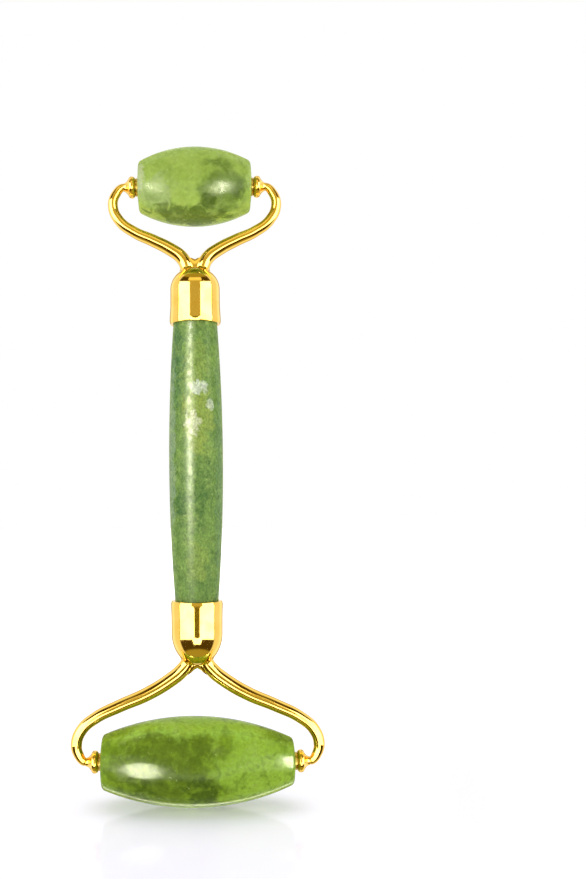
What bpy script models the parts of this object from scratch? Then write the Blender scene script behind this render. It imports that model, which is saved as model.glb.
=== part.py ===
"""Jade face roller: a stone handle with a small roller above it and a large one below.

The roller stands upright. The origin is the middle of the grip, +Z runs along the handle
towards the small roller, and both rollers turn about axes parallel to X. Metres.

Each end is built alike. A brass core is glued into the handle, two tapered rods are brazed
into the core side by side, and a drawn ferrule covers the joint. Each rod ends in a turned
cup, the two cups hold a fixed axle, and the stone turns on it in two flanged bushes.
"""
import math

import bmesh
import bpy
from mathutils import Vector

MM = 0.001
GAP = 0.3 * MM                # clearance between pieces that touch on the real object
END_FLOAT = 0.2 * MM          # clearance at each flat face of a bush's flange

# Handle
HANDLE_RADIUS = 5.93 * MM     # at the middle of the grip
HANDLE_CROWN = 407.0 * MM     # radius of the grip's long convex arc
HANDLE_HALF = 36.9 * MM       # half its length, the ends hidden in the ferrules
HANDLE_CHAMFER = 0.4 * MM
STUD_RADIUS = 2.0 * MM        # the core's stud, glued in the handle's bore
STUD_LENGTH = 8.7 * MM
CORE_RADIUS = 4.1 * MM

# Ferrules
FERRULE_WALL = 0.4 * MM
LIP_RADIUS = 0.2 * MM         # the rolled edge at the mouth

# Axles, bushes and cups, the same at both ends
AXLE_RADIUS = 0.75 * MM
BUSH_BORE = AXLE_RADIUS + GAP
BUSH_RADIUS = 1.4 * MM
BUSH_LENGTH = 3.6 * MM
FLANGE_RADIUS = 1.95 * MM
COUNTERBORE = BUSH_RADIUS + GAP
CUP_BOSS_RADIUS = 1.35 * MM
CUP_BOSS_LENGTH = 0.5 * MM
CUP_RIM_DEPTH = 0.85 * MM     # how far the rounded rim runs in from the cup's edge
AXLE_SEAT = 0.95 * MM         # depth of the blind hole that holds the axle
ROD_SEAT = 0.9 * MM           # depth of the blind hole that holds the rod's tip
ROD_SEAT_RADIUS = 0.95 * MM

# Segments round each turned piece
STONE_SEGMENTS = 36
FERRULE_SEGMENTS = 32
FITTING_SEGMENTS = 16

# What differs between the two ends. Heights are distances from the middle of the grip.
# A rod's points are (distance from the centre plane, height, rod radius), inside to outside.
SMALL_END = {
    "name": "upper",
    "up": 1,
    "axis_height": 60.4 * MM,
    "stone_radius": 8.4 * MM,
    "stone_crown": 26.1 * MM,
    "stone_widest": 0.0,
    "stone_half": 12.5 * MM,
    "flange": 0.3 * MM,
    "cup_radius": 2.3 * MM,
    "cup_width": 1.9 * MM,
    "mouth_height": 30.1 * MM,
    "mouth_radius": 5.65 * MM,
    "ferrule_radius": 5.45 * MM,
    "dome_start": 37.8 * MM,
    "dome_rise": 4.9 * MM,
    "core_height": 2.4 * MM,
    "rod_offset": 1.65 * MM,
    "rod_radius": 1.5 * MM,
    "rod": [
        (1.65, 38.4, 1.50), (1.67, 41.4, 1.50), (1.95, 43.3, 1.49), (3.0, 45.0, 1.48),
        (5.3, 46.7, 1.43), (9.26, 48.72, 1.34), (13.2, 50.5, 1.22), (16.6, 53.1, 1.14),
        (18.0, 56.6, 1.10), (17.05, 59.3, 0.98), (15.85, 60.4, 0.83), (15.05, 60.4, 0.62),
    ],
}
LARGE_END = {
    "name": "lower",
    "up": -1,
    "axis_height": 66.2 * MM,
    "stone_radius": 9.85 * MM,
    "stone_crown": 52.0 * MM,
    "stone_widest": 1.0 * MM,
    "stone_half": 21.3 * MM,
    "flange": 0.4 * MM,
    "cup_radius": 2.45 * MM,
    "cup_width": 2.1 * MM,
    "mouth_height": 30.7 * MM,
    "mouth_radius": 5.75 * MM,
    "ferrule_radius": 5.65 * MM,
    "dome_start": 37.8 * MM,
    "dome_rise": 7.2 * MM,
    "core_height": 3.2 * MM,
    "rod_offset": 1.75 * MM,
    "rod_radius": 1.6 * MM,
    "rod": [
        (1.75, 38.8, 1.60), (1.78, 42.6, 1.60), (2.1, 44.4, 1.60), (3.3, 46.05, 1.62),
        (5.73, 48.07, 1.60), (11.0, 51.25, 1.54), (17.2, 53.9, 1.43), (22.6, 56.55, 1.33),
        (25.7, 59.3, 1.29), (26.75, 62.4, 1.25), (26.2, 64.7, 1.10), (25.05, 66.1, 0.93),
        (24.25, 66.2, 0.62),
    ],
}

GOLD = (0.94, 0.66, 0.20)
BRASS = (0.66, 0.44, 0.20)
STEEL = (0.62, 0.62, 0.62)
LIGHT_JADE = (0.38, 0.58, 0.10)
GREEN_JADE = (0.23, 0.42, 0.04)
GRIP_JADE = (0.14, 0.29, 0.08)


def clear_scene():
    """Remove every object that the file starts with."""
    for obj in list(bpy.data.objects):
        bpy.data.objects.remove(obj, do_unlink=True)


def material(name, colour, roughness, metallic):
    """A Principled material with one colour."""
    made = bpy.data.materials.new(name)
    made.use_nodes = True
    shader = made.node_tree.nodes["Principled BSDF"]
    shader.inputs["Base Color"].default_value = (*colour, 1.0)
    shader.inputs["Roughness"].default_value = roughness
    shader.inputs["Metallic"].default_value = metallic
    return made


def add_object(name, data, look, parent=None):
    """Link an object with its own copy of a look, under an optional parent."""
    obj = bpy.data.objects.new(name, data)
    obj.data.materials.append(material(name, *look))
    obj.parent = parent
    bpy.context.scene.collection.objects.link(obj)
    return obj


def arc(centre_r, centre_s, radius_r, radius_s, start, end, steps):
    """Points (r, s) on an elliptical arc; angles in degrees, 0 along +r and 90 along +s."""
    points = []
    for i in range(steps + 1):
        angle = math.radians(start + (end - start) * i / steps)
        points.append((centre_r + radius_r * math.cos(angle), centre_s + radius_s * math.sin(angle)))
    return points


def turned_mesh(name, outline, segments, closed=False):
    """Spin an outline of (radius, position) points about local Z into a closed solid."""
    bm = bmesh.new()
    verts = [bm.verts.new((r, 0.0, s)) for r, s in outline]
    edges = [bm.edges.new(pair) for pair in zip(verts, verts[1:])]
    if closed:
        edges.append(bm.edges.new((verts[-1], verts[0])))
    bmesh.ops.spin(bm, geom=verts + edges, cent=(0, 0, 0), axis=(0, 0, 1), dvec=(0, 0, 0),
                   angle=2 * math.pi, steps=segments, use_merge=True)
    bmesh.ops.remove_doubles(bm, verts=bm.verts[:], dist=1e-6)
    bmesh.ops.recalc_face_normals(bm, faces=bm.faces[:])
    mesh = bpy.data.meshes.new(name)
    bm.to_mesh(mesh)
    bm.free()
    mesh.shade_smooth()
    mesh.set_sharp_from_angle(angle=math.radians(35))
    return mesh


def mirrored(half):
    """An outline that ends at s = 0, followed by its mirror image."""
    return half + [(r, -s) for r, s in reversed(half[:-1])]


def crown(radius, crown_radius, s):
    """Radius at position s of a convex arc that is widest at s = 0."""
    return radius - crown_radius + math.sqrt(crown_radius ** 2 - s ** 2)


def handle_outline():
    """The grip: a long barrel with a blind bore in each end."""
    bore = STUD_RADIUS + GAP
    floor = HANDLE_HALF - STUD_LENGTH - GAP
    steps = 6
    span = HANDLE_HALF - HANDLE_CHAMFER
    end = crown(HANDLE_RADIUS, HANDLE_CROWN, HANDLE_HALF) - HANDLE_CHAMFER
    half = [(0.0, floor), (bore, floor), (bore, HANDLE_HALF), (end, HANDLE_HALF)]
    for i in range(steps + 1):
        s = span * (1 - i / steps)
        half.append((crown(HANDLE_RADIUS, HANDLE_CROWN, s), s))
    return mirrored(half)


def stone_half_outline(spec, widest):
    """Half a barrel roller, from its bore to s = 0; widest is where its crown is centred."""
    corner, dome, flat, steps = 1.1 * MM, 0.25 * MM, 2.4 * MM, 6
    radius, crown_radius, half_length = spec["stone_radius"], spec["stone_crown"], spec["stone_half"]
    seat = half_length - BUSH_LENGTH - GAP
    centre_s = half_length - dome - corner
    inner_crown = crown_radius - corner
    centre_r = radius - crown_radius + math.sqrt(inner_crown ** 2 - (centre_s - widest) ** 2)
    lean = math.asin((centre_s - widest) / inner_crown)
    half = [(BUSH_BORE, seat), (COUNTERBORE, seat), (COUNTERBORE, half_length), (flat, half_length)]
    half += arc(centre_r, centre_s, corner, corner, 90, math.degrees(lean), 3)
    span = widest + crown_radius * math.sin(lean)
    for i in range(1, steps + 1):
        s = span * (1 - i / steps)
        half.append((crown(radius, crown_radius, s - widest), s))
    return half


def stone_outline(spec):
    """A barrel roller: through bore, bush seats, slightly domed ends and rounded corners."""
    near = stone_half_outline(spec, spec["stone_widest"])
    far = stone_half_outline(spec, -spec["stone_widest"])
    return near + [(r, -s) for r, s in reversed(far[:-1])]


def bush_outline(spec):
    """A flanged sleeve; s = 0 is the flange's outer face and the sleeve runs to -s."""
    flange = spec["flange"]
    end = -(flange + END_FLOAT + BUSH_LENGTH)
    return [(BUSH_BORE, 0.0), (FLANGE_RADIUS, 0.0), (FLANGE_RADIUS, -flange), (BUSH_RADIUS, -flange),
            (BUSH_RADIUS, end), (BUSH_BORE, end)]


def cup_outline(spec):
    """A disc with a rounded rim, a blind axle seat in its face and a rod seat in its back."""
    radius, width = spec["cup_radius"], spec["cup_width"]
    back = width + CUP_BOSS_LENGTH
    rim = arc(radius - CUP_RIM_DEPTH, width / 2, CUP_RIM_DEPTH, width / 2, -90, 90, 5)
    return ([(0.0, AXLE_SEAT), (BUSH_BORE, AXLE_SEAT), (BUSH_BORE, 0.0)] + rim
            + [(CUP_BOSS_RADIUS, back), (ROD_SEAT_RADIUS, back), (ROD_SEAT_RADIUS, back - ROD_SEAT),
               (0.0, back - ROD_SEAT)])


def ferrule_outline(spec):
    """A drawn cap: rolled lip at the mouth, tapered body, domed end that the rods pass through."""
    outer, start, rise = spec["ferrule_radius"], spec["dome_start"], spec["dome_rise"]
    inner = outer - FERRULE_WALL
    mouth_z = spec["mouth_height"]
    lip = spec["mouth_radius"] - LIP_RADIUS
    mouth = spec["mouth_radius"] - FERRULE_WALL
    outside = arc(0.0, start, outer, rise, 90, 0, 7)
    inside = arc(0.0, start, inner, rise - FERRULE_WALL, 0, 90, 4)
    edge = arc(lip, mouth_z + LIP_RADIUS, LIP_RADIUS, LIP_RADIUS, 0, -90, 2)
    return outside + edge + [(mouth, mouth_z)] + inside


def core_outline(spec):
    """The hidden brass core: a round head behind the handle's end, and a stud into its bore."""
    base = HANDLE_HALF + GAP
    return [(0.0, base + spec["core_height"]), (CORE_RADIUS, base + spec["core_height"]),
            (CORE_RADIUS, base), (STUD_RADIUS, base), (STUD_RADIUS, base - STUD_LENGTH),
            (0.0, base - STUD_LENGTH)]


def rod_slot_cutter(spec, parent):
    """A slot shaped like the two rods side by side, which opens the core and the ferrule."""
    radius = spec["rod_radius"] + GAP
    bottom = spec["rod"][0][1] * MM - GAP
    top = spec["dome_start"] + spec["dome_rise"] + GAP
    bm = bmesh.new()
    outline = arc(spec["rod_offset"], 0.0, radius, radius, -90, 90, 8)
    outline += [(-r, -s) for r, s in outline]
    face = bm.faces.new([bm.verts.new((x, y, bottom)) for x, y in outline])
    extruded = bmesh.ops.extrude_face_region(bm, geom=[face])["geom"]
    raised = [item for item in extruded if isinstance(item, bmesh.types.BMVert)]
    bmesh.ops.translate(bm, verts=raised, vec=(0, 0, top - bottom))
    bmesh.ops.recalc_face_normals(bm, faces=bm.faces[:])
    mesh = bpy.data.meshes.new(spec["name"] + "_rod_slot")
    bm.to_mesh(mesh)
    bm.free()
    cutter = bpy.data.objects.new(spec["name"] + "_rod_slot", mesh)
    cutter.parent = parent
    cutter.hide_render = True
    cutter.display_type = "WIRE"
    bpy.context.scene.collection.objects.link(cutter)
    return cutter


def cut(obj, cutter):
    """Take a cutter's shape out of an object."""
    modifier = obj.modifiers.new("rod slot", "BOOLEAN")
    modifier.operation = "DIFFERENCE"
    modifier.solver = "EXACT"
    modifier.object = cutter


def rod_curve(name, spec, side):
    """One tapered rod as a smooth bevelled curve through the hand-set points."""
    curve = bpy.data.curves.new(name, "CURVE")
    curve.dimensions = "3D"
    curve.bevel_depth = MM
    curve.bevel_resolution = 3
    curve.resolution_u = 3
    curve.use_fill_caps = True
    spline = curve.splines.new("BEZIER")
    spline.bezier_points.add(len(spec["rod"]) - 1)
    for knot, (x, height, radius) in zip(spline.bezier_points, spec["rod"]):
        knot.co = Vector((side * x, 0.0, height)) * MM
        knot.radius = radius
        knot.handle_left_type = knot.handle_right_type = "AUTO"
    return curve


def add_empty(name, location, rotation, parent=None):
    """An empty that carries the pieces of one end or of one roller."""
    empty = bpy.data.objects.new(name, None)
    empty.location = location
    empty.rotation_euler = rotation
    empty.parent = parent
    empty.empty_display_size = 5 * MM
    bpy.context.scene.collection.objects.link(empty)
    return empty


def build_end(spec):
    """Everything at one end of the handle: core, ferrule, fork, axle and roller."""
    name = spec["name"]
    flip = 0.0 if spec["up"] > 0 else math.pi
    end = add_empty(name + "_end", (0, 0, 0), (0, flip, 0))
    gold, brass = (GOLD, 0.12, 1.0), (BRASS, 0.35, 1.0)

    cutter = rod_slot_cutter(spec, end)
    core = add_object(name + "_core", turned_mesh(name + "_core", core_outline(spec), FITTING_SEGMENTS),
                      brass, end)
    cut(core, cutter)
    shell = turned_mesh(name + "_ferrule", ferrule_outline(spec), FERRULE_SEGMENTS)
    cut(add_object(name + "_ferrule", shell, gold, end), cutter)

    # Local +X of the flipped lower end points to world -X, so its sides are swapped.
    for side in (-1, 1):
        word = "left" if side * spec["up"] < 0 else "right"
        add_object(f"{name}_{word}_arm", rod_curve(f"{name}_{word}_arm", spec, side), gold, end)

    axle_line = add_empty(name + "_axle_line", (0, 0, spec["axis_height"]), (0, math.pi / 2, 0), end)
    cup_face = spec["stone_half"] + END_FLOAT + spec["flange"] + END_FLOAT
    reach = cup_face + AXLE_SEAT - GAP
    rod = [(0.0, reach), (AXLE_RADIUS, reach), (AXLE_RADIUS, -reach), (0.0, -reach)]
    add_object(name + "_axle", turned_mesh(name + "_axle", rod, FITTING_SEGMENTS), (STEEL, 0.3, 1.0),
               axle_line)
    stone_look = (LIGHT_JADE if spec["up"] > 0 else GREEN_JADE, 0.12, 0.0)
    stone = turned_mesh(name + "_roller_stone", stone_outline(spec), STONE_SEGMENTS, closed=True)
    add_object(name + "_roller_stone", stone, stone_look, axle_line)

    cup_mesh = turned_mesh(name + "_cup", cup_outline(spec), FITTING_SEGMENTS)
    bush_mesh = turned_mesh(name + "_bush", bush_outline(spec), FITTING_SEGMENTS, closed=True)
    for side in (-1, 1):
        word = "left" if side * spec["up"] < 0 else "right"
        turn = 0.0 if side > 0 else math.pi
        cup = add_object(f"{name}_{word}_cup", cup_mesh.copy(), gold, axle_line)
        cup.location = (0, 0, side * cup_face)
        cup.rotation_euler = (turn, 0, 0)
        bush = add_object(f"{name}_{word}_bush", bush_mesh.copy(), brass, axle_line)
        bush.location = (0, 0, side * (cup_face - END_FLOAT))
        bush.rotation_euler = (turn, 0, 0)


clear_scene()
add_object("handle_stone", turned_mesh("handle_stone", handle_outline(), STONE_SEGMENTS),
           (GRIP_JADE, 0.14, 0.0))
for end_spec in (SMALL_END, LARGE_END):
    build_end(end_spec)
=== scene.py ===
"""Looks of a jade face roller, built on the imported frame.

Metres, +Z along the handle towards the small roller, front towards -Y. Every visible CAD
node is replaced by a finely turned or swept piece of the same size, in polished stone,
gold plating or brass. Outlines are lists of (radius, position) points, as on a lathe.
"""
import math

import bmesh
import bpy
from mathutils import Matrix, Vector


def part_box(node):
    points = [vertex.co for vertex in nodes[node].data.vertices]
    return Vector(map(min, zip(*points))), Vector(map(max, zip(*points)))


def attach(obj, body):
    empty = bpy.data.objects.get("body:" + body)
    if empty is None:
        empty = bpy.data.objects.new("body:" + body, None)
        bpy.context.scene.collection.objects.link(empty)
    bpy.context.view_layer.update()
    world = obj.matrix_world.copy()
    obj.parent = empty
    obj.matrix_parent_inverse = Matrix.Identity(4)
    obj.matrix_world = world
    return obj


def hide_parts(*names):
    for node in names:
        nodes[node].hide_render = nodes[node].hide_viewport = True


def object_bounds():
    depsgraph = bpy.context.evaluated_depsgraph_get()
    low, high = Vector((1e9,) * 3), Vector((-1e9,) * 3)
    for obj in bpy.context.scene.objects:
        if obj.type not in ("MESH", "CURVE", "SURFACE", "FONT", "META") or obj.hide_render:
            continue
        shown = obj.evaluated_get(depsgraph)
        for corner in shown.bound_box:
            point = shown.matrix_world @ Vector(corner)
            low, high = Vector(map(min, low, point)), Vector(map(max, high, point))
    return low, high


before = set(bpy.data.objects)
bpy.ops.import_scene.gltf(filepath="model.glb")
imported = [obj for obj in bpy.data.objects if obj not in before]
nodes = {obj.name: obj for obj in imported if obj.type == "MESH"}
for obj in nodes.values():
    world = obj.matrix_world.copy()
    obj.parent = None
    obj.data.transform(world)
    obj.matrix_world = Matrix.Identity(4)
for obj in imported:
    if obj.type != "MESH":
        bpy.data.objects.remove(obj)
cad_low, cad_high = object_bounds()

MM = 0.001
SIDES = {"left": -1, "right": 1}

# Driving dimensions that a node's box doesn't give, the same as in the CAD
HANDLE_CROWN = 407.0 * MM
STONE_CORNER = 1.1 * MM
STONE_DOME = 0.25 * MM        # how far a stone's end face bulges
STONE_BORE = 1.7 * MM         # radius of the bush seat in a stone's end
BUSH_BORE = 1.05 * MM         # radius of the bore that the axle runs through
FERRULE_WALL = 0.4 * MM
LIP_RADIUS = 0.09 * MM        # rounded edge at a ferrule's mouth
LIP_INSET = 0.23 * MM         # from the widest radius in to the centre of that edge
SNUG = 0.03 * MM              # clearance where the real pieces touch
CUP_INSET = 0.25 * MM         # the cups' faces stand this much nearer the stone than in the CAD

# How a ferrule draws in to its mouth: (radius lost, distance from the mouth) in millimetres
DRAW_IN = [(0.02, 1.4), (0.0, 0.7), (0.05, 0.45), (0.11, 0.20)]

STONE_SLOTS = {"upper": "light_stone", "lower": "green_stone"}
EVEN = (1.0, 1.0, 1.0)        # no stretch

# Heights are distances from the middle of the grip. notch_dip is how deep the crotch between the
# rods is hollowed and how far from the centre plane the hollow reaches. A rod's points are
# (distance from the centre plane, height, rod radius) in millimetres, inside to outside.
ENDS = {
    "upper": {
        "up": 1,
        "axis_height": 60.4 * MM,
        "crown": 26.1 * MM,
        "widest": 0.0,
        "mouth_radius": 5.65 * MM,
        "ferrule_radius": 5.45 * MM,
        "dome_start": 37.8 * MM,
        "dome_rise": 4.9 * MM,
        "notch_height": 44.3 * MM,
        "notch_dip": (0.45 * MM, 0.85 * MM),
        "cup_radius": 2.3 * MM,
        "rod": [
            (1.65, 38.4, 1.50), (1.67, 41.4, 1.50), (1.95, 43.3, 1.49), (3.0, 45.0, 1.48),
            (5.3, 46.7, 1.43), (9.26, 48.72, 1.34), (13.2, 50.5, 1.22), (16.6, 53.1, 1.14),
            (18.0, 56.6, 1.10), (17.05, 59.3, 0.98), (15.85, 60.4, 0.83), (15.05, 60.4, 0.62),
        ],
    },
    "lower": {
        "up": -1,
        "axis_height": 66.2 * MM,
        "crown": 52.0 * MM,
        "widest": -1.0 * MM,
        "mouth_radius": 5.75 * MM,
        "ferrule_radius": 5.65 * MM,
        "dome_start": 37.8 * MM,
        "dome_rise": 7.2 * MM,
        "notch_height": 45.5 * MM,
        "notch_dip": (1.5 * MM, 1.8 * MM),
        "cup_radius": 2.45 * MM,
        "rod": [
            (1.75, 38.8, 1.60), (1.78, 42.6, 1.60), (2.1, 44.4, 1.60), (3.3, 46.05, 1.62),
            (5.73, 48.07, 1.60), (11.0, 51.25, 1.54), (17.2, 53.9, 1.43), (22.6, 56.55, 1.33),
            (25.7, 59.3, 1.29), (26.75, 62.4, 1.25), (26.2, 64.7, 1.10), (25.05, 66.1, 0.93),
            (24.25, 66.2, 0.62),
        ],
    },
}

# Highlights on the stones: piece, azimuth from the camera's side, elevation, width and height
# of the lamp as the stone sees it, all in degrees, and its radiance
GLINTS = [
    ("lower_stone", -29.0, -10.0, 20.0, 40.0, 80.0),
    ("lower_stone", 61.0, 3.0, 19.0, 40.0, 120.0),
    ("lower_stone", 180.0, -62.0, 120.0, 9.0, 6.0),
    ("upper_stone", -44.0, -13.0, 14.0, 32.0, 45.0),
    ("upper_stone", 29.0, -17.0, 13.0, 36.0, 105.0),
    ("grip", -27.0, 9.0, 26.0, 34.0, 105.0),
    ("grip", 62.0, 20.0, 10.0, 14.0, 22.0),
]


# ---------------------------------------------------------------- node helpers

class Tree:
    """Short helpers for adding and linking the nodes of one material or world."""

    def __init__(self, owner):
        owner.use_nodes = True
        self.tree = owner.node_tree

    def node(self, kind, **settings):
        made = self.tree.nodes.new(kind)
        for key, value in settings.items():
            setattr(made, key, value)
        return made

    def link(self, source, target):
        self.tree.links.new(source, target)

    def feed(self, target, value):
        """Link a socket, or set a plain value."""
        if isinstance(value, bpy.types.NodeSocket):
            self.link(value, target)
        else:
            target.default_value = value

    def span(self, value, low, high, out_low=0.0, out_high=1.0):
        """Smoothly map low..high to out_low..out_high."""
        made = self.node("ShaderNodeMapRange", interpolation_type="SMOOTHSTEP")
        self.feed(made.inputs["Value"], value)
        for socket, number in (("From Min", low), ("From Max", high),
                               ("To Min", out_low), ("To Max", out_high)):
            self.feed(made.inputs[socket], number)
        return made.outputs["Result"]

    def calc(self, operation, a, b=0.0):
        made = self.node("ShaderNodeMath", operation=operation)
        self.feed(made.inputs[0], a)
        self.feed(made.inputs[1], b)
        return made.outputs[0]

    def times(self, a, b):
        return self.calc("MULTIPLY", a, b)

    def past(self, value, edge, soft, out_low=0.0, out_high=1.0):
        """Change from out_low to out_high where value passes an edge that may itself vary."""
        return self.span(self.calc("SUBTRACT", value, edge), -soft, soft, out_low, out_high)

    def window(self, value, rise, fall):
        """1 between two soft edges, each a pair of values, and 0 outside."""
        return self.times(self.span(value, *rise), self.span(value, *fall, 1.0, 0.0))

    def mix(self, factor, a, b):
        """Mix two colours."""
        made = self.node("ShaderNodeMix", data_type="RGBA")
        self.feed(made.inputs["Factor"], factor)
        self.feed(made.inputs[6], a)
        self.feed(made.inputs[7], b)
        return made.outputs[2]

    def paint(self, colour, mask, strength, tint):
        """Lay a tint over a colour where a mask is 1."""
        return self.mix(self.times(mask, strength), colour, tint)


class Look(Tree):
    """A Principled material. Lengths in its patterns are in millimetres."""

    def __init__(self, name, **values):
        self.material = bpy.data.materials.new(name)
        super().__init__(self.material)
        self.shader = self.tree.nodes["Principled BSDF"]
        for socket, value in values.items():
            self.set(socket.replace("_", " ").title().replace("Ior", "IOR"), value)
        place = self.node("ShaderNodeTexCoord")
        scaled = self.node("ShaderNodeVectorMath", operation="SCALE")
        scaled.inputs["Scale"].default_value = 1.0 / MM
        self.link(place.outputs["Object"], scaled.inputs[0])
        self.coordinates = scaled.outputs["Vector"]

    def set(self, socket, value):
        self.shader.inputs[socket].default_value = value

    def noise(self, size, detail=3.0, distortion=0.0, stretch=EVEN, offset=0.0):
        """Noise between 0 and 1 whose blotches are about size millimetres across."""
        made = self.node("ShaderNodeTexNoise", noise_dimensions="3D")
        made.inputs["Scale"].default_value = 1.0 / size
        made.inputs["Detail"].default_value = detail
        made.inputs["Distortion"].default_value = distortion
        mapping = self.node("ShaderNodeMapping")
        mapping.inputs["Location"].default_value = (offset, offset * 0.7, offset * 1.3)
        mapping.inputs["Scale"].default_value = stretch
        self.link(self.coordinates, mapping.inputs["Vector"])
        self.link(mapping.outputs["Vector"], made.inputs["Vector"])
        return made.outputs["Fac"]

    def ridges(self, size, detail, distortion, offset):
        """0 along thin winding lines, and more away from them."""
        level = self.noise(size, detail, distortion, offset=offset)
        return self.calc("ABSOLUTE", self.calc("SUBTRACT", level, 0.5))

    def patch(self, centre, radius, ragged, stretch):
        """A ragged, soft-edged blob at a place in millimetres, 1 inside and 0 outside."""
        away = self.node("ShaderNodeVectorMath", operation="SUBTRACT")
        self.link(self.coordinates, away.inputs[0])
        away.inputs[1].default_value = centre
        shaped = self.node("ShaderNodeVectorMath", operation="MULTIPLY")
        self.link(away.outputs["Vector"], shaped.inputs[0])
        shaped.inputs[1].default_value = stretch
        length = self.node("ShaderNodeVectorMath", operation="LENGTH")
        self.link(shaped.outputs["Vector"], length.inputs[0])
        wobble = self.span(self.noise(radius * 0.8, 4.0, 0.6, offset=sum(centre)), 0.3, 0.7,
                           -ragged * radius, ragged * radius)
        edge = self.calc("ADD", length.outputs["Value"], wobble)
        return self.span(edge, 0.7 * radius, 1.2 * radius, 1.0, 0.0)

    def bump(self, height, strength, distance):
        """Bump of a height pattern; distance in millimetres."""
        made = self.node("ShaderNodeBump")
        made.inputs["Strength"].default_value = strength
        made.inputs["Distance"].default_value = distance * MM
        self.link(height, made.inputs["Height"])
        self.link(made.outputs["Normal"], self.shader.inputs["Normal"])


# ---------------------------------------------------------------- camera, floor and light

def add_camera():
    """The photograph's view: level, from the front, a little below the middle of the handle."""
    data = bpy.data.cameras.new("camera")
    data.sensor_fit = "AUTO"
    data.sensor_width = 36.0
    data.lens = 38.08
    data.shift_x = 0.110
    data.shift_y = 0.069
    data.clip_start, data.clip_end = 0.01, 10.0
    camera = bpy.data.objects.new("camera", data)
    camera.location = (0.0, -205.0 * MM, -8.6 * MM)
    camera.rotation_euler = (math.radians(90.0), math.radians(0.35), 0.0)
    bpy.context.scene.collection.objects.link(camera)
    bpy.context.scene.camera = camera


def add_area_light(name, azimuth, height, distance, size, radiance, aim_height=0.0):
    """A rectangular light at an azimuth from the camera's side, aimed at the handle."""
    data = bpy.data.lights.new(name, "AREA")
    data.shape = "RECTANGLE"
    data.size, data.size_y = size
    data.energy = radiance * math.pi * size[0] * size[1]
    light = bpy.data.objects.new(name, data)
    angle = math.radians(azimuth)
    light.location = (distance * math.sin(angle), -distance * math.cos(angle), height)
    aim = Vector((0.0, 0.0, aim_height)) - light.location
    light.rotation_euler = aim.to_track_quat("-Z", "Y").to_euler()
    light.visible_camera = False
    bpy.context.scene.collection.objects.link(light)
    return light


def add_world():
    """The studio that the polished metal mirrors, and the white that surrounds the object.

    Two tall soft boxes stand left and right in front, with a dim gap between them that closes
    near its foot. An amber column rises in the gap, and fans out and pales above the boxes. The
    rest of the front is dark, and olive far up and far down. Behind the object it is white,
    with a brighter box and an amber gap on each side.
    """
    world = bpy.data.worlds.new("studio")
    bpy.context.scene.world = world
    world.cycles.sampling_method = "NONE"
    sky = Tree(world)
    sky.tree.nodes.clear()
    split = sky.node("ShaderNodeSeparateXYZ")
    sky.link(sky.node("ShaderNodeTexCoord").outputs["Generated"], split.inputs[0])
    front = sky.times(split.outputs["Y"], -1.0)
    turn = sky.calc("ABSOLUTE", sky.calc("ARCTAN2", split.outputs["X"], front))

    # Angles in degrees: azimuth 0 is the camera's side, 180 behind; elevation 0 is level.
    azimuth = sky.calc("DEGREES", turn)
    elevation = sky.calc("DEGREES", sky.calc("ARCSINE", split.outputs["Z"]))

    gap = sky.times(sky.span(elevation, -6.0, 10.0, 12.5, 25.0), sky.span(elevation, -15.0, -12.0))
    sides = sky.times(sky.past(azimuth, gap, 1.0), sky.span(azimuth, 79.0, 84.0, 1.0, 0.0))
    above_bottom = sky.past(elevation, sky.span(azimuth, 15.0, 23.0, -31.0, -17.0), 1.5)
    below_top = sky.past(elevation, sky.span(azimuth, 24.0, 42.0, 25.5, 30.0), 1.5, 1.0, 0.0)
    level = sky.times(above_bottom, below_top)
    box = sky.times(sides, level)
    fan = sky.past(azimuth, sky.span(elevation, 15.0, 40.0, 20.0, 36.0), 2.0, 1.0, 0.0)
    column = sky.times(fan, sky.times(above_bottom, sky.span(elevation, 50.0, 56.0, 1.0, 0.0)))
    middle = sky.calc("MAXIMUM", column, sky.times(level, sky.span(azimuth, 40.0, 70.0, 1.0, 0.0)))
    far = sky.calc("MAXIMUM", sky.span(elevation, 50.0, 57.0),
                   sky.span(elevation, -50.0, -42.0, 1.0, 0.0))
    behind = sky.span(azimuth, 82.0, 88.0)
    back_box = sky.window(azimuth, (118.0, 122.0), (140.0, 144.0))
    back_gap = sky.window(azimuth, (146.0, 150.0), (164.0, 168.0))

    dark, brown = (0.085, 0.055, 0.012, 1.0), (0.20, 0.17, 0.03, 1.0)
    olive, amber = (0.40, 0.35, 0.09, 1.0), (0.58, 0.50, 0.22, 1.0)
    cream, white = (1.15, 1.05, 0.62, 1.0), (1.0, 1.0, 1.0, 1.0)
    lamp, soft_lamp = (4.6, 4.6, 4.6, 1.0), (1.2, 1.2, 1.2, 1.0)
    colour = sky.mix(far, dark, olive)
    tan = sky.mix(sky.span(elevation, -4.0, 9.0), brown, amber)
    colour = sky.mix(middle, colour, sky.mix(sky.span(elevation, 28.0, 42.0), tan, cream))
    colour = sky.mix(box, colour, lamp)
    backdrop = sky.mix(back_box, white, soft_lamp)
    colour = sky.mix(behind, colour, sky.mix(back_gap, backdrop, amber))

    # Glossy rays see the studio, the camera sees white, and all other rays get an even fill.
    rays = sky.node("ShaderNodeLightPath")
    fill = (0.37, 0.37, 0.37, 1.0)
    colour = sky.mix(rays.outputs["Is Glossy Ray"], fill, colour)
    colour = sky.mix(rays.outputs["Is Camera Ray"], colour, white)
    background = sky.node("ShaderNodeBackground")
    sky.link(colour, background.inputs["Color"])
    output = sky.node("ShaderNodeOutputWorld")
    sky.link(background.outputs[0], output.inputs["Surface"])


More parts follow.
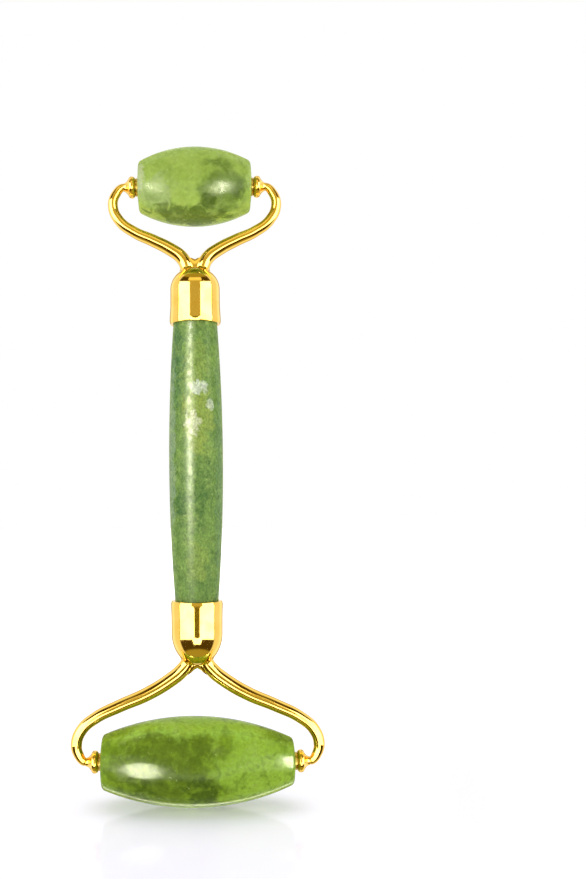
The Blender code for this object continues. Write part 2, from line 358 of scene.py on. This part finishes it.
def add_floor():
    """A pale, faintly glossy floor that glows white far away and less near the object, with a painted
    shadow that dims its glow below the stone.
    """
    bm = bmesh.new()
    bmesh.ops.create_circle(bm, cap_ends=True, segments=96, radius=2.0)
    mesh = bpy.data.meshes.new("floor")
    bm.to_mesh(mesh)
    bm.free()
    floor = bpy.data.objects.new("floor", mesh)
    floor.location = (0.0, 0.0, cad_low.z - 0.05 * MM)
    floor.visible_glossy = floor.visible_shadow = False
    look = Look("floor", roughness=0.1)
    distance = look.node("ShaderNodeVectorMath", operation="LENGTH")
    look.link(look.coordinates, distance.inputs[0])
    # The floor glows, less near the object, which paints shade around it. A painted contact shadow
    # takes more glow away right below the stone.
    glow = look.span(distance.outputs["Value"], 30.0, 360.0, 0.32, 1.0)
    painted_contact_shadow = look.span(distance.outputs["Value"], 5.0, 26.0, 0.08, 0.0)
    look.set("Base Color", (0.77, 0.75, 0.87, 1.0))
    look.set("IOR", 1.32)
    look.set("Emission Color", (1.0, 1.0, 1.0, 1.0))
    look.link(look.calc("SUBTRACT", glow, painted_contact_shadow), look.shader.inputs["Emission Strength"])
    mesh.materials.append(look.material)
    bpy.context.scene.collection.objects.link(floor)


def add_lights():
    """Soft key lights left and right and a large one overhead. The metal mirrors the world."""
    for name, azimuth, radiance in (("key_left", -50.0, 0.85), ("key_right", 50.0, 0.65)):
        key = add_area_light(name, azimuth, 0.10, 0.45, (0.40, 0.45), radiance)
        key.visible_glossy = False
    top = add_area_light("overhead", 180.0, 0.55, 0.05, (0.60, 0.60), 2.1)
    top.visible_glossy = False


def add_glint(name, stone, azimuth, elevation, width, height, radiance):
    """A lamp that only one stone mirrors, for its window-like highlight. Angles in degrees."""
    reach = 0.30
    middle = sum((Vector(corner) for corner in stone.bound_box), Vector()) / 8
    around, up = math.radians(azimuth), math.radians(elevation)
    way = Vector((math.sin(around) * math.cos(up), -math.cos(around) * math.cos(up), math.sin(up)))
    size = [2 * reach * math.tan(math.radians(angle / 2)) for angle in (width, height)]
    data = bpy.data.lights.new(name, "AREA")
    data.shape = "ELLIPSE"
    data.color = (1.0, 1.0, 0.72)
    data.size, data.size_y = size
    data.energy = radiance * math.pi * size[0] * size[1]
    lamp = bpy.data.objects.new(name, data)
    lamp.location = middle + way * reach
    lamp.rotation_euler = (-way).to_track_quat("-Z", "Y").to_euler()
    lamp.visible_camera = lamp.visible_diffuse = False
    receiver = bpy.data.collections.new(name)
    receiver.objects.link(stone)
    lamp.light_linking.receiver_collection = receiver
    bpy.context.scene.collection.objects.link(lamp)


# ---------------------------------------------------------------- materials

def rgb(red, green, blue):
    """An sRGB colour, 0 to 255, as the linear value that a shader takes."""
    def linear(level):
        level /= 255.0
        return level / 12.92 if level <= 0.04045 else ((level + 0.055) / 1.055) ** 2.4
    return (linear(red), linear(green), linear(blue), 1.0)


def stone_body(look, light, middle, dark, cloud_size, patches, mottle_size, mottling, stretch):
    """The stone's large pattern: clouds, blotches, patches at chosen places, and mottling. Among the
    patches are painted shade, painted light and painted highlights.
    """
    clouds = look.span(look.noise(cloud_size, 4.0, 1.0), 0.30, 0.70)
    colour = look.mix(clouds, middle, light)
    blotches = look.span(look.noise(cloud_size * 0.8, 4.0, 1.2, offset=31.0), 0.52, 0.76)
    colour = look.paint(colour, blotches, 0.5, dark)
    for centre, radius, tint, strength, ragged, patch_stretch in patches:
        mask = look.patch(centre, radius, ragged, patch_stretch)
        colour = look.paint(colour, mask, strength, tint)
    mottle = look.noise(mottle_size, 5.0, 0.8, stretch=stretch, offset=71.0)
    colour = look.paint(colour, look.span(mottle, 0.48, 0.72), mottling, light)
    return look.paint(colour, look.span(mottle, 0.50, 0.28), mottling, dark)


def stone_marks(look, colour, cloud_size, dark):
    """The stone's small pattern: pale wisps, bright flecks and dark veins."""
    wisps = look.times(look.span(look.ridges(cloud_size * 0.9, 6.0, 2.2, 57.0), 0.0, 0.08, 1.0, 0.0),
                       look.span(look.noise(cloud_size, 2.0, offset=83.0), 0.5, 0.65))
    colour = look.paint(colour, wisps, 0.22, rgb(196, 220, 120))
    flecks = look.span(look.noise(0.9, 2.0, offset=143.0), 0.68, 0.76)
    colour = look.paint(colour, flecks, 0.45, rgb(206, 226, 130))
    veins = look.times(look.span(look.ridges(cloud_size * 0.7, 5.0, 1.5, 119.0), 0.0, 0.014, 1.0, 0.0),
                       look.span(look.noise(cloud_size * 0.6, 2.0, offset=7.0), 0.52, 0.62))
    return look.paint(colour, veins, 0.40, dark)


def stone_look(name, light, middle, dark, cloud_size, patches, grain, grain_size, mottle_size,
               mottling, tone, smooth, stretch=EVEN):
    """Polished translucent stone.

    tone scales the whole colour and grain varies it finely; smooth is the mean roughness; a
    patch is (centre, radius, colour, strength, raggedness, stretch) in millimetres.
    """
    look = Look(name, ior=1.6, subsurface_weight=0.25, subsurface_scale=1.6 * MM,
                specular_ior_level=0.07)
    look.set("Subsurface Radius", (0.7, 1.0, 0.35))
    colour = stone_body(look, light, middle, dark, cloud_size, patches, mottle_size, mottling, stretch)
    colour = stone_marks(look, colour, cloud_size, dark)
    fine = look.noise(grain_size, 5.0, 0.4, stretch=stretch, offset=13.0)
    shade = look.span(fine, 0.3, 0.7, tone * (1.0 - grain), tone * (1.0 + grain))
    grained = look.node("ShaderNodeVectorMath", operation="MULTIPLY")
    look.link(colour, grained.inputs[0])
    look.link(shade, grained.inputs[1])
    look.link(grained.outputs["Vector"], look.shader.inputs["Base Color"])
    smear = look.noise(1.2, 4.0, offset=3.0)
    look.link(look.span(smear, 0.3, 0.75, smooth * 0.7, smooth * 1.5), look.shader.inputs["Roughness"])
    look.bump(look.noise(1.6, 5.0, 0.8, offset=21.0), 0.35, 0.03)
    return look.material


def metal_look(name, base, deep, roughness, bump=0.1, wave=2.0):
    """Metal with slow tone changes, roughness that varies, and a faint ripple."""
    look = Look(name, metallic=1.0)
    tone = look.span(look.noise(3.0, 3.0, 0.5), 0.35, 0.7)
    look.link(look.mix(tone, base, deep), look.shader.inputs["Base Color"])
    smear = look.noise(0.7, 5.0, 0.3, offset=9.0)
    look.link(look.span(smear, 0.3, 0.75, roughness * 0.7, roughness * 1.6),
              look.shader.inputs["Roughness"])
    look.bump(look.noise(wave, 3.0, 0.3, offset=5.0), bump, 0.02)
    return look.material


# ---------------------------------------------------------------- modelling helpers

def arc(centre_r, centre_s, radius_r, radius_s, start, end, steps):
    """Points (r, s) on an elliptical arc; angles in degrees, 0 along +r and 90 along +s."""
    points = []
    for i in range(steps + 1):
        angle = math.radians(start + (end - start) * i / steps)
        points.append((centre_r + radius_r * math.cos(angle), centre_s + radius_s * math.sin(angle)))
    return points


def crown(radius, crown_radius, s):
    """Radius at position s of a convex arc that is widest at s = 0."""
    return radius - crown_radius + math.sqrt(crown_radius ** 2 - s ** 2)


def mirrored(half):
    """An outline that ends at s = 0, followed by its mirror image."""
    return half + [(r, -s) for r, s in reversed(half[:-1])]


def lathe(outline, segments, closed=False):
    """Turn an outline about local Z into a closed bmesh. A point on the axis is one vertex."""
    bm = bmesh.new()
    rings = []
    for r, s in outline:
        count = 1 if r < 1e-9 else segments
        rings.append([bm.verts.new((r * math.cos(2 * math.pi * k / count),
                                    r * math.sin(2 * math.pi * k / count), s))
                      for k in range(count)])
    pairs = list(zip(rings, rings[1:]))
    if closed:
        pairs.append((rings[-1], rings[0]))
    for a, b in pairs:
        for k in range(segments):
            quad = [a[k % len(a)], a[(k + 1) % len(a)], b[(k + 1) % len(b)], b[k % len(b)]]
            bm.faces.new(list(dict.fromkeys(quad)))
    bmesh.ops.recalc_face_normals(bm, faces=bm.faces[:])
    return bm


def add_piece(name, bm, place, look, body, slot, *replaced, sharp=40.0):
    """Make a bmesh into a shown piece: placed in world space, shaded, and tied to the frame."""
    mesh = bpy.data.meshes.new(name)
    bm.to_mesh(mesh)
    bm.free()
    mesh.transform(place)
    mesh.shade_smooth()
    mesh.set_sharp_from_angle(angle=math.radians(sharp))
    mesh.materials.append(look)
    piece = bpy.data.objects.new(name, mesh)
    bpy.context.scene.collection.objects.link(piece)
    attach(piece, body)
    if replaced:
        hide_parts(*replaced)
    return piece


def half_sizes(node):
    """Half the length along X and half the height of a node's box."""
    low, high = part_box(node)
    return (high.x - low.x) / 2, (high.z - low.z) / 2


# ---------------------------------------------------------------- pieces

def grip_outline():
    """The grip: a long barrel with small chamfers at its hidden ends."""
    radius, half_length = half_sizes("handle_stone")
    chamfer, steps = 0.4 * MM, 48
    end = crown(radius, HANDLE_CROWN, half_length)
    half = [(0.0, half_length), (end - chamfer, half_length)]
    for i in range(steps + 1):
        s = (half_length - chamfer) * (1 - i / steps)
        half.append((crown(radius, HANDLE_CROWN, s), s))
    return mirrored(half)


def half_roller_outline(node, crown_radius, widest):
    """Half a barrel roller, from its bore to s = 0; widest is where its crown is centred."""
    half_length, radius = half_sizes(node)
    seat, bevel, flat, steps = 4.0 * MM, 0.1 * MM, 2.4 * MM, 40
    centre_s = half_length - STONE_DOME - STONE_CORNER
    inner_crown = crown_radius - STONE_CORNER
    centre_r = radius - crown_radius + math.sqrt(inner_crown ** 2 - (centre_s - widest) ** 2)
    lean = math.asin((centre_s - widest) / inner_crown)
    half = [(BUSH_BORE, half_length - seat), (STONE_BORE, half_length - seat),
            (STONE_BORE, half_length - bevel), (STONE_BORE + bevel, half_length),
            (flat, half_length)]
    half += arc(centre_r, centre_s, STONE_CORNER, STONE_CORNER, 90, math.degrees(lean), 16)
    span = widest + crown_radius * math.sin(lean)
    for i in range(1, steps + 1):
        s = span * (1 - i / steps)
        half.append((crown(radius, crown_radius, s - widest), s))
    return half


def roller_outline(node, crown_radius, widest):
    """A barrel roller with rounded corners, slightly domed ends and bush seats."""
    near = half_roller_outline(node, crown_radius, widest)
    far = half_roller_outline(node, crown_radius, -widest)
    return near + [(r, -s) for r, s in reversed(far[:-1])]


def ferrule_outline(name, end):
    """A drawn cap: domed end, tapered body, rounded lip that fits the grip, inside wall."""
    grip_middle, _ = half_sizes("handle_stone")
    mouth = min(abs(corner.z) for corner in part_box(name + "_ferrule"))
    grip_radius = crown(grip_middle, HANDLE_CROWN, mouth) + SNUG
    outer, start, rise = end["ferrule_radius"], end["dome_start"], end["dome_rise"]
    inner, wide = outer - FERRULE_WALL, end["mouth_radius"]
    straight, swell, entry, seat = 0.3 * MM, 0.02 * MM, 0.12 * MM, 2.0 * MM
    outside = arc(0.0, start, outer, rise, 90, 0, 48)
    body = [(outer, start - straight), (outer + swell, (start + mouth) / 2)]
    body += [(wide - lost * MM, mouth + distance * MM) for lost, distance in DRAW_IN]
    edge = arc(wide - LIP_INSET, mouth + LIP_RADIUS, LIP_RADIUS, LIP_RADIUS, -15, -90, 8)
    throat = [(grip_radius + entry, mouth), (grip_radius, mouth + entry),
              (grip_radius, mouth + seat)]
    inside = arc(0.0, start, inner, rise - FERRULE_WALL, 0, 90, 24)
    return outside + body + edge + throat + inside


def rod_mesh(name, points, side, up):
    """A tapered rod swept along a smooth curve through the listed points."""
    curve = bpy.data.curves.new(name, "CURVE")
    curve.dimensions = "3D"
    curve.bevel_depth = MM
    curve.bevel_resolution = 14
    curve.resolution_u = 16
    curve.use_fill_caps = True
    spline = curve.splines.new("BEZIER")
    spline.bezier_points.add(len(points) - 1)
    for knot, (x, height, radius) in zip(spline.bezier_points, points):
        knot.co = Vector((side * x, 0.0, up * height)) * MM
        knot.radius = radius
        knot.handle_left_type = knot.handle_right_type = "AUTO"
    carrier = bpy.data.objects.new(name, curve)
    bpy.context.scene.collection.objects.link(carrier)
    bpy.context.view_layer.update()
    bm = bmesh.new()
    bm.from_mesh(carrier.evaluated_get(bpy.context.evaluated_depsgraph_get()).to_mesh())
    bpy.data.objects.remove(carrier)
    bpy.data.curves.remove(curve)
    bmesh.ops.recalc_face_normals(bm, faces=bm.faces[:])
    return bm


def rod_at(end, height):
    """A rod's distance from the centre plane and its radius at a height, both in metres."""
    points = [(x * MM, h * MM, r * MM) for x, h, r in end["rod"]]
    for (x0, h0, r0), (x1, h1, r1) in zip(points, points[1:]):
        if h0 <= height <= h1:
            t = (height - h0) / (h1 - h0)
            return x0 + (x1 - x0) * t, r0 + (r1 - r0) * t
    return points[0][0], points[0][2]


def skin(bm, rings):
    """Faces between rings of equally many vertices, and one across the first ring."""
    for a, b in zip(rings, rings[1:]):
        for k in range(len(a)):
            after = (k + 1) % len(a)
            bm.faces.new((a[k], a[after], b[after], b[k]))
    bm.faces.new(rings[0])


def solder_web(end):
    """The braze that fills the notch between the two rods, thinner and hollowed at its top."""
    sunk, dimple = 1.2 * MM, 0.06 * MM
    bottom, top = end["dome_start"] + end["dome_rise"] - sunk, end["notch_height"]
    dip, reach = end["notch_dip"]
    thickness, thinning = 0.92, 0.34        # shares of the rod's radius
    across, levels = 24, 10
    bm = bmesh.new()
    rings = []
    for level in range(levels + 1):
        t = level / levels
        height = bottom + (top - bottom) * t
        centre, radius = rod_at(end, height)
        depth = radius * (thickness - thinning * t ** 3)
        ring = []
        for k in range(across):
            angle = 2 * math.pi * k / across
            x = centre * math.cos(angle)
            rise = dip * t * min(1.0, abs(x) / reach) ** 1.5
            ring.append(bm.verts.new((x, depth * math.sin(angle), height + rise)))
        rings.append(ring)
    skin(bm, rings)
    middle = bm.verts.new((0.0, 0.0, top - dimple))
    for k in range(across):
        bm.faces.new((rings[-1][k], rings[-1][(k + 1) % across], middle))
    bmesh.ops.recalc_face_normals(bm, faces=bm.faces[:])
    return bm


def solder_fillet(end, side):
    """A concave ring of braze where a rod leaves the dome."""
    start, rise, outer = end["dome_start"], end["dome_rise"], end["ferrule_radius"]
    around, steps, reach = 48, 8, 0.55 * MM
    root, sink, skirt, overlap = 0.3 * MM, 0.02 * MM, 0.5 * MM, 0.4 * MM

    def dome(x, y):
        """Height of the dome above a place."""
        return start + rise * math.sqrt(max(0.0, 1 - (x * x + y * y) / outer ** 2))

    bm = bmesh.new()
    rings = [[] for _ in range(steps + 3)]
    for k in range(around):
        angle = 2 * math.pi * k / around
        way = Vector((math.cos(angle), math.sin(angle), 0.0))
        centre, radius = rod_at(end, start + rise - root)
        foot = Vector((centre, 0.0, 0.0)) + way * (radius + reach)
        foot.z = dome(foot.x, foot.y)
        corner = Vector((centre, 0.0, 0.0)) + way * radius
        corner.z = dome(corner.x, corner.y)
        high = corner.z + reach * 1.2
        centre_high, radius_high = rod_at(end, high)
        crest = Vector((centre_high, 0.0, high)) + way * (radius_high - sink)
        line = [foot - Vector((0.0, 0.0, skirt)), foot - Vector((0.0, 0.0, sink))]
        for i in range(1, steps + 1):
            t = i / steps
            line.append(foot * (1 - t) ** 2 + corner * 2 * t * (1 - t) + crest * t ** 2)
        line.append(crest - way * overlap)
        for ring, point in zip(rings, line):
            ring.append(bm.verts.new((side * point.x, point.y, point.z)))
    skin(bm, rings)
    bm.faces.new(rings[-1])
    bmesh.ops.recalc_face_normals(bm, faces=bm.faces[:])
    return bm


def cup_outline(end):
    """A bell: flat face at s = 0, ball-like rim, and a hollow flare that runs into the rod."""
    radius, rim_radius = end["cup_radius"] + 0.05 * MM, 0.8 * MM
    tip_radius = end["rod"][-2][2] * MM
    rim = arc(radius - rim_radius, rim_radius, rim_radius, rim_radius, -90, 74, 24)
    start_r, start_s = rim[-1]
    length, steps = 1.25 * MM, 12
    flare = []
    for i in range(1, steps + 1):
        t = i / steps
        flare.append((tip_radius + (start_r - tip_radius) * (1 - t) ** 2.0, start_s + length * t))
    return [(0.0, 0.0)] + rim + flare + [(0.0, start_s + length)]


def bush_outline(thick):
    """A flanged sleeve; s = 0 is the flange's face towards the cup and the sleeve runs to -s."""
    radius, sleeve, edge, length = 1.95 * MM, 1.4 * MM, 0.06 * MM, 3.0 * MM
    return [(BUSH_BORE, 0.0), (radius - edge, 0.0), (radius, -edge), (radius, edge - thick),
            (radius - edge, -thick), (sleeve, -thick), (sleeve, -thick - length),
            (BUSH_BORE, -thick - length)]


def add_end(name, end, looks):
    """Every piece at one end of the handle."""
    up = end["up"]
    roller = name + "_roller"
    flip = Matrix.Scale(up, 4, Vector((0, 0, 1)))
    add_piece(name + "_cap", lathe(ferrule_outline(name, end), 96), flip, looks["gold"], "handle",
              "gold_plating", name + "_ferrule", sharp=30)
    add_piece(name + "_braze", solder_web(end), flip, looks["gold"], "handle", "gold_plating")
    stone_node = name + "_roller_stone"
    axis = Matrix.Translation((0, 0, up * end["axis_height"]))
    along_x = axis @ Matrix.Rotation(math.pi / 2, 4, "Y")
    barrel = lathe(roller_outline(stone_node, end["crown"], end["widest"]), 160, closed=True)
    add_piece(name + "_stone", barrel, along_x, looks[name], roller, STONE_SLOTS[name], stone_node)
    stone_half, _ = half_sizes(stone_node)
    for side_name, side in SIDES.items():
        part = f"{name}_{side_name}"
        add_piece(part + "_rod", rod_mesh(part, end["rod"], side, up), Matrix.Identity(4),
                  looks["gold"], "handle", "gold_plating", part + "_arm", sharp=60)
        add_piece(part + "_fillet", solder_fillet(end, side), flip, looks["gold"], "handle",
                  "gold_plating")
        turn = along_x @ Matrix.Rotation(0 if side > 0 else math.pi, 4, "X")
        face = min(abs(corner.x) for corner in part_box(part + "_cup")) - CUP_INSET
        place = turn @ Matrix.Translation((0, 0, face))
        add_piece(part + "_socket", lathe(cup_outline(end), 64), place, looks["gold"],
                  "handle", "gold_plating", part + "_cup", sharp=50)
        flange = face - stone_half - 2 * SNUG
        add_piece(part + "_washer", lathe(bush_outline(flange), 48, closed=True),
                  turn @ Matrix.Translation((0, 0, face - SNUG)), looks["brass"], roller,
                  "bush_brass", part + "_bush", sharp=30)


def finish_hidden(name, looks):
    """Give the CAD nodes that stay, inside the object, their own looks."""
    for node, look in ((name + "_core", looks["raw_brass"]), (name + "_axle", looks["steel"])):
        nodes[node].data.materials.clear()
        nodes[node].data.materials.append(look)


OLIVE, DEEP_OLIVE = rgb(98, 124, 44), rgb(74, 98, 26)


def upper_stone_look():
    """Light jade with an olive patch front right, painted shade along the bottom, and painted
    reflections that make the end rims paler.
    """
    z = ENDS["upper"]["axis_height"] / MM
    return stone_look(
        "light_jade", rgb(180, 206, 96), rgb(158, 190, 76), rgb(118, 150, 52), 9.0,
        patches=[
            ((6.0, -7.0, z - 1.6), 5.3, OLIVE, 0.7, 0.35, EVEN),
            ((3.0, -7.0, z - 5.5), 2.4, DEEP_OLIVE, 0.75, 0.3, EVEN),
            ((9.3, -5.5, z - 2.5), 2.0, DEEP_OLIVE, 0.6, 0.3, EVEN),
            ((-8.0, -6.0, z - 3.0), 3.5, rgb(180, 200, 130), 0.6, 0.3, EVEN),
            # Painted shade: a deep olive band stretched along the stone's underside.
            ((-2.0, -3.0, z - 8.2), 3.8, DEEP_OLIVE, 0.8, 0.35, (0.4, 1.0, 1.0)),
            ((-3.0, 6.5, z + 2.0), 4.5, OLIVE, 0.7, 0.3, EVEN),
            # Painted reflections: pale patches on the left and right end rims.
            ((-12.4, -6.0, z + 0.5), 2.2, rgb(222, 228, 182), 0.6, 0.3, (1.5, 1.0, 0.35)),
            ((12.4, -6.0, z + 1.5), 2.0, rgb(200, 226, 124), 0.6, 0.3, (1.5, 1.0, 0.4)),
        ], grain=0.09, grain_size=0.8, mottle_size=2.6, mottling=0.3, tone=0.78, smooth=0.25)


def lower_stone_look():
    """Green jade, dark on the left and yellow-green on the right, with painted light along the top."""
    z = -ENDS["lower"]["axis_height"] / MM
    return stone_look(
        "green_jade", rgb(154, 190, 52), rgb(122, 156, 38), rgb(84, 108, 26), 9.0,
        patches=[
            ((-7.0, -8.0, z + 1.0), 9.0, rgb(98, 120, 32), 0.75, 0.25, (0.65, 1.0, 1.0)),
            ((1.5, -8.0, z - 4.0), 4.0, DEEP_OLIVE, 0.8, 0.4, EVEN),
            ((-13.0, -7.0, z - 4.5), 3.5, DEEP_OLIVE, 0.6, 0.4, EVEN),
            ((13.0, -7.0, z + 2.0), 7.5, rgb(168, 208, 72), 0.75, 0.3, (0.8, 1.0, 1.0)),
            ((4.0, 8.0, z + 1.0), 6.0, OLIVE, 0.7, 0.4, (0.7, 1.0, 1.0)),
            # Painted light: a pale yellow-green band stretched along the top.
            ((2.0, -3.5, z + 9.5), 4.2, rgb(170, 214, 80), 0.8, 0.3, (0.22, 1.0, 1.0)),
        ], grain=0.12, grain_size=0.7, mottle_size=2.2, mottling=0.45, tone=0.88, smooth=0.17)


def grip_look():
    """Greyer, grainier jade with yellow-green clouds, a few nearly white spots, painted rim light
    along both edges and painted highlights on the front.
    """
    pale = rgb(236, 246, 214)
    return stone_look(
        "grip_jade", rgb(146, 181, 86), rgb(112, 150, 70), rgb(74, 114, 52), 4.0,
        patches=[
            ((-4.8, -3.8, 21.0), 2.6, rgb(76, 124, 74), 0.65, 0.35, (1.0, 1.0, 0.25)),
            ((-3.2, -5.0, -9.0), 2.0, rgb(70, 116, 56), 0.6, 0.4, (1.0, 1.0, 0.7)),
            ((1.0, -5.9, -6.0), 1.7, rgb(78, 122, 54), 0.55, 0.4, (1.0, 1.0, 0.35)),
            # Painted rim light: pale stripes stretched along the left and right edges.
            ((-6.0, -2.6, 3.0), 2.0, rgb(166, 190, 148), 0.65, 0.3, (1.0, 1.0, 0.10)),
            ((5.8, -3.0, -4.0), 2.2, rgb(128, 164, 102), 0.6, 0.3, (1.0, 1.0, 0.07)),
            ((0.4, -5.9, 9.5), 3.4, rgb(172, 192, 84), 0.75, 0.35, (1.0, 1.0, 0.45)),
            # Painted highlight: a whitish blotch within the lamp's highlight stripe.
            ((-0.8, -5.9, 8.0), 1.6, rgb(240, 244, 196), 0.85, 0.4, (1.0, 1.0, 0.6)),
            ((0.2, -5.9, 20.5), 2.6, rgb(160, 186, 84), 0.6, 0.35, (1.0, 1.0, 0.5)),
            ((0.0, -5.9, -22.0), 2.4, rgb(160, 186, 84), 0.6, 0.4, (1.0, 1.0, 0.5)),
            ((0.7, -5.9, 15.7), 1.7, pale, 0.95, 0.35, EVEN),
            ((3.2, -5.0, 11.9), 1.1, pale, 0.7, 0.35, EVEN),
            # Painted highlight: a white spot at the top of that stripe, just below the ferrule.
            ((-1.1, -5.5, 28.9), 0.9, pale, 0.7, 0.35, EVEN),
            ((-2.0, 5.4, -9.0), 2.0, pale, 0.7, 0.4, EVEN),
        ], grain=0.24, grain_size=0.4, mottle_size=1.0, mottling=0.5, tone=0.76, smooth=0.33,
        stretch=(1.0, 1.0, 0.75))


def make_looks():
    """All materials of the object."""
    gold, deep_gold = (1.0, 0.67, 0.15, 1.0), (0.98, 0.62, 0.11, 1.0)
    return {
        "upper": upper_stone_look(),
        "lower": lower_stone_look(),
        "grip": grip_look(),
        "gold": metal_look("gold_plating", gold, deep_gold, 0.07, bump=0.04),
        "brass": metal_look("bush_brass", rgb(222, 196, 104), rgb(196, 162, 74), 0.3, wave=0.8),
        "raw_brass": metal_look("raw_brass", rgb(196, 150, 84), rgb(160, 116, 58), 0.35, wave=0.8),
        "steel": metal_look("axle_steel", rgb(190, 190, 190), rgb(160, 160, 162), 0.28, wave=0.8),
    }


# ---------------------------------------------------------------- the scene

bpy.context.scene.view_settings.view_transform = "Standard"
add_camera()
add_world()
add_lights()
add_floor()

all_looks = make_looks()
add_piece("grip", lathe(grip_outline(), 128), Matrix.Identity(4), all_looks["grip"], "handle",
          "grip_stone", "handle_stone", sharp=30)
for end_name, end_values in ENDS.items():
    add_end(end_name, end_values, all_looks)
    finish_hidden(end_name, all_looks)

for number, (stone_name, *lamp_values) in enumerate(GLINTS):
    add_glint(f"glint_{number}", bpy.data.objects[stone_name], *lamp_values)
